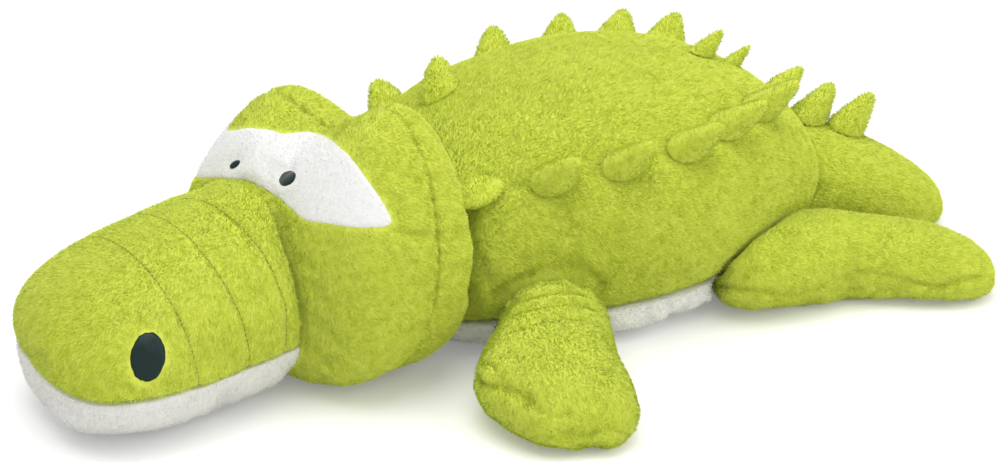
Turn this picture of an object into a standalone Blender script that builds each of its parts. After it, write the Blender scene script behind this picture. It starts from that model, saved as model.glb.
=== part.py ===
# Stuffed plush crocodile lying flat: a torso over a belly, a turned head with a collar and an eye
# patch, a snout over a lower jaw, four legs, a tail and rows of padded spikes.
# Lengths are in metres, +Z is up, the nose points to -Y and the tail to +Y.
import math

import bmesh
import bpy
from mathutils import Matrix, Vector
from mathutils.bvhtree import BVHTree

# Clearances and cuts
gap = 0.0003
floor_flat = 0.0005
limb_clearance = 0.004
hinge_rise = 0.008
cut_reach = 0.8

# Torso and belly
torso_front_y = -0.163
torso_turn = math.radians(-5.0)
torso_length = 0.500
torso_half_width = 0.174
torso_height = 0.238
belly_seam_share = 0.1891
torso_middle_share = 0.46
# Stations: place along, half width, top, bottom
torso_shares = (
    (0.00, 0.46, 0.56, 0.06), (0.12, 0.82, 0.88, 0.00), (0.50, 1.07, 1.03, 0.00), (0.82, 0.72, 0.90, 0.03),
    (0.98, 0.34, 0.50, 0.22))

# Padded spikes
spike_length = 0.042
spike_width_share = 0.78125
spike_thickness = 0.034
spike_root_depth = 0.012
spike_sides = 6
spike_squareness = 2.0
# Sections: reach to the tip, width, shift to the tail
spike_shares = ((0.00, 1.00, 0.00), (0.46, 0.84, 0.05), (0.93, 0.34, 0.16))

# The two rows along the back. A spike is spike_width_share of the space that it has in its row
row_pairs = 6
row_start_share = 0.14
row_span_share = 0.64
row_lean = math.radians(60.0)
# Place along the row and lean of each spike; the second one on the right stands nearer to the neck
left_row_shares = ((0.00, 0.96), (0.21, 1.00), (0.42, 1.00), (0.64, 0.97), (0.81, 0.88), (0.97, 0.76))
right_row_shares = ((0.00, 0.96), (0.08, 0.26), (0.42, 1.00), (0.65, 0.97), (0.82, 0.88), (0.96, 0.80))
row_out_share = 0.36
row_back_share = 0.22

# The single spikes behind the rows, on the rump and on the tail
# Place along the torso and size
rump_spike_shares = ((0.725, 0.62), (0.797, 0.46), (0.905, 0.76))
tail_spike_start_share = 0.295
tail_spike_step_shares = (0.00, 0.86)
tail_spike_size_share = 1.00
ridge_back_share = 0.70

# Head and its collar, set on the front of the torso
head_x = -0.012
head_inset = 0.005
head_turn = math.radians(18.0)
head_roll = math.radians(8.0)
head_half_width = 0.152
head_height = 0.240
head_length = 0.150
collar_share = 0.5333
collar_tilt = math.radians(9.0)
# Stations: place along, half width, top, bottom, height of the two brow lobes
head_shares = (
    (-0.10, 0.70, 0.84, 0.14, 0.03), (0.08, 1.00, 1.00, 0.00, 0.15), (0.36, 1.00, 1.01, 0.00, 0.19),
    (0.74, 0.92, 0.86, 0.00, 0.08), (1.04, 0.64, 0.60, 0.06, 0.00))

# Eye patch, drawn on a plane that leans back over the face, and the pupils on it
patch_thickness = 0.003
patch_tilt = math.radians(42.0)
patch_across_share = -0.1447
patch_along_share = 0.50
patch_up_share = 0.7917
patch_wide_share = 0.9868
patch_tall_share = 0.1667
patch_reach = 0.2
patch_sink = 0.035
# Half outline from the middle of the upper edge to the middle of the lower edge: across, up
patch_shares = (
    (0.00, 0.66), (0.23, 0.86), (0.48, 0.72), (0.76, 0.30), (0.98, -0.26), (1.00, -0.42), (0.92, -0.60),
    (0.70, -0.98), (0.46, -1.12), (0.28, -1.00), (0.00, -0.86))
pupil_across_share = 0.2333
pupil_up_share = -0.45
pupil_half_width = 0.010
pupil_half_height = 0.0065
pupil_thickness = 0.003

# Snout, lower jaw and nostrils
snout_turn = math.radians(2.0)
snout_side_share = -0.0541
snout_forward_share = 0.557
snout_length = 0.269
snout_half_width = 0.110
snout_height = 0.184
snout_middle_share = 0.45
mouth_share = 0.3533
# Stations: place along, half width, top, bottom
snout_shares = (
    (0.00, 0.80, 1.08, 0.00), (0.34, 0.92, 0.98, 0.00), (0.68, 1.04, 0.83, 0.00), (0.91, 0.86, 0.72, 0.03),
    (1.00, 0.46, 0.52, 0.14))
nostril_along_share = 0.7286
nostril_up_share = 0.5543
nostril_half_width = 0.016
nostril_half_height = 0.022
nostril_thickness = 0.003

# Front legs. Stations: place along, width, height, shift to the side
front_leg_side_share = 0.6322
front_leg_back_share = 0.236
front_leg_turn = math.radians(-14.0)
front_leg_length = 0.204
front_leg_width = 0.125
front_leg_height = 0.108
front_leg_shares = ((0.00, 0.76, 1.00, 0.04), (0.30, 0.80, 0.90, 0.06), (0.52, 1.18, 0.78, -0.22),
                    (0.80, 0.98, 0.66, -0.12), (0.99, 0.72, 0.46, 0.01))

# Hind legs. Stations as on the front legs
hind_leg_side_share = 0.6782
hind_leg_back_share = 0.646
hind_leg_turn = math.radians(70.0)
hind_leg_length = 0.285
hind_leg_width = 0.120
hind_leg_height = 0.100
hind_leg_shares = ((-0.06, 1.04, 0.94, -0.03), (0.24, 0.94, 0.98, -0.03), (0.56, 0.64, 0.78, 0.00),
                   (0.80, 0.86, 0.74, -0.12), (1.00, 0.44, 0.44, -0.14))

# Tail. Stations: place along, width, height
tail_back_share = 0.85
tail_length = 0.232
tail_width = 0.150
tail_height = 0.138
tail_turn = math.radians(19.0)
tail_shares = ((0.00, 1.00, 1.00), (0.28, 0.94, 0.94), (0.60, 0.78, 0.74), (0.86, 0.56, 0.50),
               (1.00, 0.26, 0.26))

# How finely the soft forms are drawn
torso_sides = 10
head_sides = 14
snout_sides = 8
limb_sides = 8
body_levels = 2
limb_levels = 1
torso_squareness = 2.9
head_squareness = 2.8
snout_squareness = 2.4
limb_squareness = 2.3
pad_segments = 14
pad_rings = 8

# Fabrics
green_pile = (0.580, 0.665, 0.058)
white_pile = (0.860, 0.855, 0.830)
white_felt = (0.840, 0.840, 0.830)
dark_thread = (0.012, 0.035, 0.030)
pile_roughness = 0.95
thread_roughness = 0.45

right_way = Vector((1.0, 0.0, 0.0))
back_way = Vector((0.0, 1.0, 0.0))
up_way = Vector((0.0, 0.0, 1.0))


def make_material(name, colour, roughness):
    material = bpy.data.materials.new(name)
    material.use_nodes = True
    shader = material.node_tree.nodes["Principled BSDF"]
    shader.inputs["Base Color"].default_value = (*colour, 1.0)
    shader.inputs["Roughness"].default_value = roughness
    shader.inputs["Metallic"].default_value = 0.0
    material.diffuse_color = (*colour, 1.0)
    return material


def cage_growth(sides):
    # How much wider than the finished round a subdivided ring of this many points is drawn.
    return 6.0 / (4.0 + 2.0 * math.cos(2.0 * math.pi / sides))


def ring_points(centre, across, up, half_width, rise, drop, sides, squareness, lobe=0.0):
    # One section: half_width to each side, rise above the centre and drop below it. A lobe lifts
    # the points beside the top one and lowers the top one.
    grow = cage_growth(sides)
    points = []
    for index in range(sides):
        angle = 2.0 * math.pi * (index + 0.5) / sides
        cosine, sine = math.cos(angle), math.sin(angle)
        reach = (abs(cosine) ** squareness + abs(sine) ** squareness) ** (-1.0 / squareness)
        side = grow * half_width * reach * cosine
        height = grow * (rise if sine > 0.0 else drop) * reach * sine
        from_top = angle - math.pi / 2.0
        if abs(from_top) < 3.0 * math.pi / sides:
            height -= lobe * math.cos(from_top * sides / 2.0)
        points.append(centre + across * side + up * height)
    return points


def cage_mesh(name, rings):
    # A closed cage through rings of equal count.
    mesh = bpy.data.meshes.new(name)
    shape = bmesh.new()
    rows = [[shape.verts.new(point) for point in ring] for ring in rings]
    sides = len(rows[0])
    for low, high in zip(rows, rows[1:]):
        for index in range(sides):
            after = (index + 1) % sides
            shape.faces.new((low[index], low[after], high[after], high[index]))
    shape.faces.new(list(reversed(rows[0])))
    shape.faces.new(rows[-1])
    bmesh.ops.recalc_face_normals(shape, faces=shape.faces)
    shape.to_mesh(mesh)
    shape.free()
    return mesh


def swelled(name, rings, levels):
    # The cage through the rings smoothed into a stuffed form. It is cut into triangles before any
    # clearance or cut, so that a form and its cutter keep the same faces.
    thing = bpy.data.objects.new(name, cage_mesh(name, rings))
    smooth = thing.modifiers.new("Swell", "SUBSURF")
    smooth.levels = levels
    smooth.render_levels = levels
    thing.modifiers.new("Facets", "TRIANGULATE")
    return thing


def swelling(name, rings, levels, material):
    thing = swelled(name, rings, levels)
    thing.data.materials.append(material)
    collection.objects.link(thing)
    return thing


def hide_cutter(thing):
    cutters.objects.link(thing)
    thing.hide_render = True
    thing.display_type = "WIRE"
    return thing


def grown(name, rings, levels, clearance):
    # A cutter of the same form as a swelling, wider all round by the clearance.
    thing = swelled(name, rings, levels)
    outward = thing.modifiers.new("Clearance", "DISPLACE")
    outward.strength = clearance
    outward.mid_level = 0.0
    return hide_cutter(thing)


def block(name, low, high):
    # A box cutter between two corners.
    mesh = bpy.data.meshes.new(name)
    shape = bmesh.new()
    bmesh.ops.create_cube(shape, size=1.0)
    bmesh.ops.scale(shape, vec=high - low, verts=shape.verts)
    bmesh.ops.translate(shape, vec=(low + high) / 2.0, verts=shape.verts)
    shape.to_mesh(mesh)
    shape.free()
    return hide_cutter(bpy.data.objects.new(name, mesh))


def below(name, height):
    low = Vector((-cut_reach, -cut_reach, height - cut_reach))
    return block(name, low, Vector((cut_reach, cut_reach, height)))


def above(name, height):
    high = Vector((cut_reach, cut_reach, height + cut_reach))
    return block(name, Vector((-cut_reach, -cut_reach, height)), high)


def trim(thing, cutter, operation="DIFFERENCE"):
    cut = thing.modifiers.new("Trim " + cutter.name, "BOOLEAN")
    cut.operation = operation
    cut.solver = "EXACT"
    cut.object = cutter


def finished_mesh(thing):
    bpy.context.view_layer.update()
    seen = bpy.context.evaluated_depsgraph_get()
    return bpy.data.meshes.new_from_object(thing.evaluated_get(seen))


def finished_points(thing):
    mesh = finished_mesh(thing)
    points = [thing.matrix_world @ vertex.co for vertex in mesh.vertices]
    bpy.data.meshes.remove(mesh)
    return points


def surface_of(thing):
    # A search tree over the finished surface.
    mesh = finished_mesh(thing)
    points = [thing.matrix_world @ vertex.co for vertex in mesh.vertices]
    faces = [tuple(face.vertices) for face in mesh.polygons]
    bpy.data.meshes.remove(mesh)
    return BVHTree.FromPolygons(points, faces)


def sink_to_floor(rings, levels):
    # Lowers the rings until the finished form reaches floor_flat below the floor.
    probe = swelling("floor_probe", rings, levels, green)
    lowest = min(point.z for point in finished_points(probe))
    bpy.data.objects.remove(probe, do_unlink=True)
    drop = up_way * (lowest + floor_flat)
    return [[point - drop for point in ring] for ring in rings]


def turned_place(x, y, turn):
    return Matrix.Translation((x, y, 0.0)) @ Matrix.Rotation(turn, 4, "Z")


def torso_rings():
    rings = []
    for along, wide, top, bottom in torso_shares:
        middle = (bottom + torso_middle_share * (top - bottom)) * torso_height
        centre = Vector((0.0, along * torso_length - half_length, middle))
        ring = ring_points(centre, right_way, up_way, wide * torso_half_width, top * torso_height - middle,
                           middle - bottom * torso_height, torso_sides, torso_squareness)
        rings.append([torso_place @ point for point in ring])
    return sink_to_floor(rings, body_levels)


def head_rings():
    # The sections run forward from the collar to the snout, their tops rolled up to the left.
    rings = []
    for along, wide, top, bottom, lobe in head_shares:
        half_height = (top - bottom) * head_height / 2.0
        centre = Vector((0.0, -along * head_length, bottom * head_height + half_height))
        ring = ring_points(Vector(), right_way, up_way, wide * head_half_width, half_height, half_height,
                           head_sides, head_squareness, lobe * head_height)
        for point in ring:
            point.z += math.tan(head_roll) * point.x * max(point.z / half_height, 0.0)
        rings.append([head_place @ (centre + point) for point in ring])
    return sink_to_floor(rings, body_levels)


def snout_rings():
    rings = []
    for along, wide, top, bottom in snout_shares:
        middle = (bottom + snout_middle_share * (top - bottom)) * snout_height
        centre = Vector((0.0, -along * snout_length, middle))
        ring = ring_points(centre, right_way, up_way, wide * snout_half_width, top * snout_height - middle,
                           middle - bottom * snout_height, snout_sides, snout_squareness)
        rings.append([snout_place @ point for point in ring])
    return sink_to_floor(rings, body_levels)


def leg_rings(place, length, width, height, shares):
    # Local +X runs out from the root to the paw.
    rings = []
    for along, wide, tall, sideways in shares:
        half_height = tall * height / 2.0
        centre = Vector((along * length, sideways * width, half_height))
        ring = ring_points(centre, back_way, up_way, wide * width / 2.0, half_height, half_height,
                           limb_sides, limb_squareness)
        rings.append([place @ point for point in ring])
    return sink_to_floor(rings, limb_levels)


def tail_rings():
    rings = []
    for along, wide, tall in tail_shares:
        half_height = tall * tail_height / 2.0
        centre = Vector((0.0, along * tail_length, half_height))
        ring = ring_points(centre, right_way, up_way, wide * tail_width / 2.0, half_height, half_height,
                           limb_sides, limb_squareness)
        rings.append([tail_place @ point for point in ring])
    return sink_to_floor(rings, limb_levels)


def spike(name, seat, root_way, point_way, size_share, cutter):
    # A padded cone with a blunt tip skewed to the tail, its root let into the form below it.
    across = point_way.cross(back_way).normalized()
    along_way = across.cross(point_way).normalized()
    root = seat - root_way * spike_root_depth
    reach_full = spike_length * size_share + spike_root_depth
    rings = []
    for reach, wide, shift in spike_shares:
        centre = root + point_way * (reach * reach_full) + back_way * (shift * spike_length)
        half_thickness = wide * size_share * spike_thickness / 2.0
        rings.append(ring_points(centre, along_way, across, wide * size_share * spike_width / 2.0,
                                 half_thickness, half_thickness, spike_sides, spike_squareness))
    thing = swelling(name, rings, limb_levels, green)
    trim(thing, cutter)
    return thing


def patch_prism(name):
    # The patch outline drawn out both ways along the normal of its plane.
    half = [(share_x * patch_half_width, share_y * patch_half_height) for share_x, share_y in patch_shares]
    outline = half + [(-across, up) for across, up in reversed(half[1:-1])]
    mesh = bpy.data.meshes.new(name)
    shape = bmesh.new()
    low = [shape.verts.new(patch_place @ Vector((across, up, -patch_sink))) for across, up in outline]
    face = shape.faces.new(low)
    swept = bmesh.ops.extrude_face_region(shape, geom=[face])["geom"]
    moved = [item for item in swept if isinstance(item, bmesh.types.BMVert)]
    sweep = patch_place.to_3x3() @ Vector((0.0, 0.0, patch_sink + patch_reach))
    bmesh.ops.translate(shape, vec=sweep, verts=moved)
    bmesh.ops.recalc_face_normals(shape, faces=shape.faces)
    shape.to_mesh(mesh)
    shape.free()
    return hide_cutter(bpy.data.objects.new(name, mesh))


def pad(name, seat, normal, across, half_width, half_height, thickness, material, cutter):
    # A flat oval pad half sunk in what carries it, and cut by it.
    across = (across - normal * across.dot(normal)).normalized()
    upward = normal.cross(across)
    turn = Matrix((across, upward, normal)).transposed().to_4x4()
    mesh = bpy.data.meshes.new(name)
    shape = bmesh.new()
    bmesh.ops.create_uvsphere(shape, u_segments=pad_segments, v_segments=pad_rings, radius=1.0)
    bmesh.ops.scale(shape, vec=(half_width, half_height, thickness), verts=shape.verts)
    bmesh.ops.transform(shape, matrix=Matrix.Translation(seat) @ turn, verts=shape.verts)
    shape.to_mesh(mesh)
    shape.free()
    mesh.materials.append(material)
    thing = bpy.data.objects.new(name, mesh)
    collection.objects.link(thing)
    trim(thing, cutter)
    return thing


def hinge_place(things):
    # A place hinge_rise above the highest point where the things lie against the torso.
    touching = [point for thing in things for point in finished_points(thing)
                if torso_surface.find_nearest(point)[3] < gap / 2.0]
    return max(touching, key=lambda point: point.z) + up_way * hinge_rise


def make_empty(name, place):
    thing = bpy.data.objects.new(name, None)
    thing.location = place
    bpy.context.scene.collection.objects.link(thing)
    return thing


def hang(thing, holder):
    # Parents a thing to an empty without moving it.
    thing.parent = holder
    thing.matrix_parent_inverse = Matrix.Translation(-holder.location)


for old in list(bpy.data.objects):
    bpy.data.objects.remove(old, do_unlink=True)
collection = bpy.data.collections.new("plush_crocodile")
cutters = bpy.data.collections.new("cutters")
bpy.context.scene.collection.children.link(collection)
bpy.context.scene.collection.children.link(cutters)

green = make_material("green_pile", green_pile, pile_roughness)
white = make_material("white_pile", white_pile, pile_roughness)
felt = make_material("white_felt", white_felt, pile_roughness)
thread = make_material("dark_thread", dark_thread, thread_roughness)

half_length = torso_length / 2.0
torso_place = turned_place(0.0, torso_front_y + half_length, torso_turn)
head_place = turned_place(head_x, torso_front_y + head_inset, head_turn)
patch_half_width = patch_wide_share * head_half_width
patch_half_height = patch_tall_share * head_height
patch_place = (head_place
               @ Matrix.Translation((patch_across_share * head_half_width, -patch_along_share * head_length,
                                     patch_up_share * head_height))
               @ Matrix.Rotation(math.pi / 2.0 - patch_tilt, 4, "X"))
snout_place = (head_place
               @ Matrix.Translation((snout_side_share * head_half_width,
                                     -snout_forward_share * head_length, 0.0))
               @ Matrix.Rotation(snout_turn - head_turn, 4, "Z"))
tail_place = turned_place(0.0, torso_front_y + tail_back_share * torso_length, -tail_turn)
row_length = row_span_share * torso_length
spike_width = spike_width_share * row_length / (row_pairs - 1)

# Flat cuts
floor = below("floor_cut", 0.0)
belly_seam_height = belly_seam_share * torso_height
mouth_height = mouth_share * snout_height
above_belly = above("above_belly", belly_seam_height - gap / 2.0)
below_torso = below("below_torso", belly_seam_height + gap / 2.0)
above_jaw = above("above_jaw", mouth_height - gap / 2.0)
below_snout = below("below_snout", mouth_height + gap / 2.0)
before_collar = block("before_collar", Vector((-cut_reach, -cut_reach, -cut_reach)),
                      Vector((cut_reach, gap / 2.0, cut_reach)))
behind_seam = block("behind_seam", Vector((-cut_reach, -gap / 2.0, -cut_reach)),
                    Vector((cut_reach, cut_reach, cut_reach)))
seam_place = (head_place @ Matrix.Translation((0.0, -collar_share * head_length, 0.0))
              @ Matrix.Rotation(-collar_tilt, 4, "X"))
before_collar.matrix_world = seam_place
behind_seam.matrix_world = seam_place

# Torso over belly, parted at the belly seam
torso_form = torso_rings()
torso_cutter = grown("torso_clearance", torso_form, body_levels, gap)
torso = swelling("torso", torso_form, body_levels, green)
trim(torso, below_torso)
belly = swelling("belly", torso_form, body_levels, white)
trim(belly, above_belly)
trim(belly, floor)

# Head and collar, parted at the collar seam
head_form = head_rings()
head_cutter = grown("head_clearance", head_form, body_levels, gap)
head = swelling("head", head_form, body_levels, green)
trim(head, torso_cutter)
trim(head, behind_seam)
trim(head, floor)
collar = swelling("collar", head_form, body_levels, green)
trim(collar, torso_cutter)
trim(collar, before_collar)
trim(collar, floor)

# Snout over jaw, parted at the mouth
snout_form = snout_rings()
snout_cutter = grown("snout_clearance", snout_form, body_levels, gap)
snout = swelling("snout", snout_form, body_levels, green)
trim(snout, below_snout)
trim(snout, head_cutter)
jaw = swelling("jaw", snout_form, body_levels, white)
trim(jaw, above_jaw)
trim(jaw, floor)
trim(jaw, head_cutter)

# Eye patch and pupils, on the front of the head
patch_outer = 2.0 * gap + patch_thickness
eye_patch = swelling("eye_patch", head_form, body_levels, felt)
thicken = eye_patch.modifiers.new("Thicken", "DISPLACE")
thicken.strength = gap + patch_thickness
thicken.mid_level = 0.0
trim(eye_patch, patch_prism("patch_outline"), "INTERSECT")
trim(eye_patch, head_cutter)
trim(eye_patch, snout_cutter)
patch_cutter = grown("patch_clearance", head_form, body_levels, patch_outer)
patch_surface = surface_of(patch_cutter)
patch_turning = patch_place.to_3x3()
for side, mark in (("left", 1.0), ("right", -1.0)):
    start = patch_place @ Vector((mark * pupil_across_share * patch_half_width,
                                  pupil_up_share * patch_half_height, patch_reach))
    seat, normal = patch_surface.ray_cast(start, patch_turning @ -up_way)[:2]
    pad("pupil_" + side, seat, normal, patch_turning @ right_way, pupil_half_width, pupil_half_height,
        pupil_thickness, thread, patch_cutter)

# Nostrils, low on the sides of the snout
snout_surface = surface_of(snout_cutter)
snout_turning = snout_place.to_3x3()
for side, mark in (("left", 1.0), ("right", -1.0)):
    start = snout_place @ Vector((0.0, -nostril_along_share * snout_length, nostril_up_share * snout_height))
    seat, normal = snout_surface.ray_cast(start, snout_turning @ (right_way * mark))[:2]
    pad("nostril_" + side, seat, normal, snout_turning @ back_way, nostril_half_width, nostril_half_height,
        nostril_thickness, thread, snout_cutter)

# Legs
head_room = grown("head_room", head_form, body_levels, limb_clearance)
for side, mark in (("left", 1.0), ("right", -1.0)):
    flip = Matrix.Diagonal((mark, 1.0, 1.0, 1.0))
    place = flip @ turned_place(front_leg_side_share * torso_half_width,
                                torso_front_y + front_leg_back_share * torso_length, front_leg_turn)
    rings = leg_rings(place, front_leg_length, front_leg_width, front_leg_height, front_leg_shares)
    front_leg = swelling("front_leg_" + side, rings, limb_levels, green)
    trim(front_leg, torso_cutter)
    trim(front_leg, head_room)
    trim(front_leg, floor)
    place = flip @ turned_place(hind_leg_side_share * torso_half_width,
                                torso_front_y + hind_leg_back_share * torso_length, hind_leg_turn)
    rings = leg_rings(place, hind_leg_length, hind_leg_width, hind_leg_height, hind_leg_shares)
    hind_leg = swelling("hind_leg_" + side, rings, limb_levels, green)
    trim(hind_leg, torso_cutter)
    trim(hind_leg, floor)

# Tail, between the hind legs
tail_form = tail_rings()
tail_cutter = grown("tail_clearance", tail_form, limb_levels, gap)
tail = swelling("tail", tail_form, limb_levels, green)
trim(tail, torso_cutter)
trim(tail, floor)

# Spikes
torso_surface = surface_of(torso_cutter)
torso_turning = torso_place.to_3x3()
tail_surface = surface_of(tail_cutter)
for index in range(row_pairs):
    for side, mark, row_shares in (("left", 1.0, left_row_shares), ("right", -1.0, right_row_shares)):
        along, lean_share = row_shares[index]
        y = row_start_share * torso_length + along * row_length - half_length
        inside = torso_place @ Vector((0.0, y, torso_middle_share * torso_height))
        lean_angle = row_lean * lean_share
        way = torso_turning @ Vector((mark * math.sin(lean_angle), 0.0, math.cos(lean_angle)))
        seat, normal = torso_surface.ray_cast(inside, way)[:2]
        lean = torso_turning @ Vector((mark * row_out_share, row_back_share, 0.0))
        point_way = (normal + lean).normalized()
        spike("spike_%s_%d" % (side, index + 1), seat, normal, point_way, 1.0, torso_cutter)

ridge_way = (up_way + back_way * ridge_back_share).normalized()
for index, (share, size_share) in enumerate(rump_spike_shares):
    start = torso_place @ Vector((0.0, share * torso_length - half_length, cut_reach))
    seat = torso_surface.ray_cast(start, -up_way)[0]
    spike("rump_spike_%d" % (index + 1), seat, up_way, ridge_way, size_share, torso_cutter)
for index, share in enumerate(tail_spike_step_shares):
    y = tail_spike_start_share * tail_length + share * tail_spike_size_share * spike_width
    start = tail_place @ Vector((0.0, y, cut_reach))
    seat = tail_surface.ray_cast(start, -up_way)[0]
    spike("tail_spike_%d" % (index + 1), seat, up_way, ridge_way, tail_spike_size_share, tail_cutter)

# Hinges just over the upper edge of each root seam: a body lifted off the floor opens its seam.
# The whole part then moves over so that it stands on the middle of its box.
root = make_empty("crocodile", Vector())
body_nodes = {
    "head": ("head", "collar", "eye_patch", "pupil_left", "pupil_right", "snout", "jaw", "nostril_left",
             "nostril_right"),
    "front_leg_left": ("front_leg_left",), "front_leg_right": ("front_leg_right",),
    "hind_leg_left": ("hind_leg_left",), "hind_leg_right": ("hind_leg_right",),
    "tail": ("tail",) + tuple("tail_spike_%d" % (index + 1) for index in range(len(tail_spike_step_shares)))}
corners = []
for thing in collection.objects:
    corners.extend(finished_points(thing))
pivots = []
for body, nodes in body_nodes.items():
    pivot = make_empty(body + "_hinge", hinge_place([collection.objects[node] for node in nodes]))
    pivots.append(pivot)
    for node in nodes:
        hang(collection.objects[node], pivot)
for thing in list(collection.objects) + list(cutters.objects) + pivots:
    if thing.parent is None:
        hang(thing, root)
low = Vector(min(point[axis] for point in corners) for axis in range(3))
high = Vector(max(point[axis] for point in corners) for axis in range(3))
root.location = Vector((-(low.x + high.x) / 2.0, -(low.y + high.y) / 2.0, 0.0))
bpy.context.view_layer.update()
for pivot in pivots:
    print(pivot.name, *("%.4f" % value for value in pivot.matrix_world.translation))
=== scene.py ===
import math

import bmesh
import bpy
import numpy as np
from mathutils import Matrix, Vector, noise
from mathutils.bvhtree import BVHTree
from mathutils.kdtree import KDTree


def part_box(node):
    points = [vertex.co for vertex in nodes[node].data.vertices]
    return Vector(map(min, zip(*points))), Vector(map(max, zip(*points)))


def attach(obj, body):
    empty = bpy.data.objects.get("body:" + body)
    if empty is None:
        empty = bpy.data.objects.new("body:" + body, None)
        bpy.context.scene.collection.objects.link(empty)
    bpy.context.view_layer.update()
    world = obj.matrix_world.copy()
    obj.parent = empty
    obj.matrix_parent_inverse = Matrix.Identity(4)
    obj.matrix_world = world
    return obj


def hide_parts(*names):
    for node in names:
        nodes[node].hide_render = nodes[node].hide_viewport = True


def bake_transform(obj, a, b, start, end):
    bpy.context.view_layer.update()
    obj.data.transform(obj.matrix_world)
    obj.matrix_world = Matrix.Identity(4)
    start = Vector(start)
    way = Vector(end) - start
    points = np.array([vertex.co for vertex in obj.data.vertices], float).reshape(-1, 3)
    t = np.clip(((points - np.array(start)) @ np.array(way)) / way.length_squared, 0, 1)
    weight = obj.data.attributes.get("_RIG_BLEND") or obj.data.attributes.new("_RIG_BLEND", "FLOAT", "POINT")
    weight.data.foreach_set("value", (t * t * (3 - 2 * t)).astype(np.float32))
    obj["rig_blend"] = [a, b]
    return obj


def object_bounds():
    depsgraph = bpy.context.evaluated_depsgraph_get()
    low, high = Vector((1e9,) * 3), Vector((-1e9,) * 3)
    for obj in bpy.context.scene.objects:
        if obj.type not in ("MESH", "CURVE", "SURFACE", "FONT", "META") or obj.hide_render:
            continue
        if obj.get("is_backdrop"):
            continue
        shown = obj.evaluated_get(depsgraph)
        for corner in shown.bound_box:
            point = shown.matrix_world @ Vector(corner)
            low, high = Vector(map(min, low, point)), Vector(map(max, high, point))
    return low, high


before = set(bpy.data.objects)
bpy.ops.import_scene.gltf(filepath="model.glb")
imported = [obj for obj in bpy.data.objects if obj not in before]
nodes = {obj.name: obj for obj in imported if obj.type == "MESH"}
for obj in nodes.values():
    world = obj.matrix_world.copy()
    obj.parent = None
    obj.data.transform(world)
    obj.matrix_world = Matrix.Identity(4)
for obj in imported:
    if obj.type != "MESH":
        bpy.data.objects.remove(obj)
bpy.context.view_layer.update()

scene = bpy.context.scene
upward = Vector((0.0, 0.0, 1.0))

# Camera at the place that the photograph was taken from
cameraSizes = {"azimuth": 60.165, "elevation": 26.331, "distance": 2.229,
               "target": (0.0464, -0.0327, 0.1013), "focal": 2313.9, "frame": (1000, 462),
               "sensor": 36.0, "farthest": 50.0}


def makeCamera(sizes):
    data = bpy.data.cameras.new("camera")
    data.sensor_width = sizes["sensor"]
    data.lens = sizes["sensor"] * sizes["focal"] / sizes["frame"][0]
    data.clip_end = sizes["farthest"]
    camera = bpy.data.objects.new("camera", data)
    scene.collection.objects.link(camera)
    azimuth, elevation = math.radians(sizes["azimuth"]), math.radians(sizes["elevation"])
    back = Vector((math.sin(azimuth) * math.cos(elevation), -math.cos(azimuth) * math.cos(elevation),
                   math.sin(elevation)))
    camera.location = Vector(sizes["target"]) + back * sizes["distance"]
    camera.rotation_mode = "QUATERNION"
    camera.rotation_quaternion = (-back).to_track_quat("-Z", "Y")
    scene.camera = camera
    bpy.context.view_layer.update()
    return camera


camera = makeCamera(cameraSizes)
cameraPlace = camera.matrix_world.translation.copy()
cameraTurn = camera.matrix_world.to_3x3()


# Places of the photograph's frame, and what they fall on
def seenRay(across, down):
    wide, tall = cameraSizes["frame"]
    return (cameraTurn @ Vector((across - wide / 2, tall / 2 - down, -cameraSizes["focal"]))).normalized()


def seenFrom(points):
    # Where points fall in the frame: across and down.
    turned = (points - np.array(cameraPlace)) @ np.array(cameraTurn)
    scale = cameraSizes["focal"] / -turned[:, 2]
    wide, tall = cameraSizes["frame"]
    return np.stack([wide / 2 + turned[:, 0] * scale, tall / 2 - turned[:, 1] * scale], axis=1)


def smoothLine(places, spacing=2.5):
    # A rounded line through places of the frame.
    spots = [Vector(place) for place in places]
    ends = [spots[0] * 2 - spots[1]] + spots + [spots[-1] * 2 - spots[-2]]
    line = []
    for before, first, second, after in zip(ends, ends[1:], ends[2:], ends[3:]):
        count = max(1, round((second - first).length / spacing))
        for step in range(count):
            share = step / count
            line.append(0.5 * (first * 2 + (second - before) * share
                               + (before * 2 - first * 5 + second * 4 - after) * share ** 2
                               + (first * 3 - before - second * 3 + after) * share ** 3))
    return line + [spots[-1]]


def seenPath(tree, places):
    # A line of the photograph laid on a surface.
    hits = [tree.ray_cast(cameraPlace, seenRay(*spot))[0] for spot in smoothLine(places)]
    return np.array([hit for hit in hits if hit is not None])


def mirroredPath(tree, path):
    # The same line on the other side of the crocodile.
    return np.array([tree.find_nearest(Vector((-place[0], place[1], place[2])))[0] for place in path])


# Materials
shades = {
    "green": {"dark": (0.505, 0.600, 0.042), "mid": (0.625, 0.705, 0.066), "light": (0.695, 0.762, 0.100)},
    "white": {"dark": (0.800, 0.790, 0.745), "mid": (0.845, 0.838, 0.800), "light": (0.870, 0.865, 0.835)},
    "nap": {"dark": (0.830, 0.828, 0.812), "mid": (0.860, 0.858, 0.845), "light": (0.880, 0.878, 0.865)}}
darkThreadColour = (0.006, 0.022, 0.020)
seamThreadColour = (0.300, 0.320, 0.080)
fabricSizes = {"broad": 14.0, "broadShare": 0.3, "fineDetail": 4.0, "stops": (0.42, 0.60, 0.86),
               "relief": 0.002}
strandFinish = {"Roughness": 0.85, "Specular IOR Level": 0.25, "Sheen Weight": 0.22}
threadSizes = {"distortion": 0.4, "stops": ((0.0, 0.75), (1.0, 1.25)), "bump": 0.3, "relief": 0.0003,
               "specular": 0.22}


def wire(tree, node, inputs):
    # Each input gets a value or is joined to another node's output.
    for label, value in inputs.items():
        if isinstance(value, bpy.types.NodeSocket):
            tree.links.new(value, node.inputs[label])
        else:
            node.inputs[label].default_value = value


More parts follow.
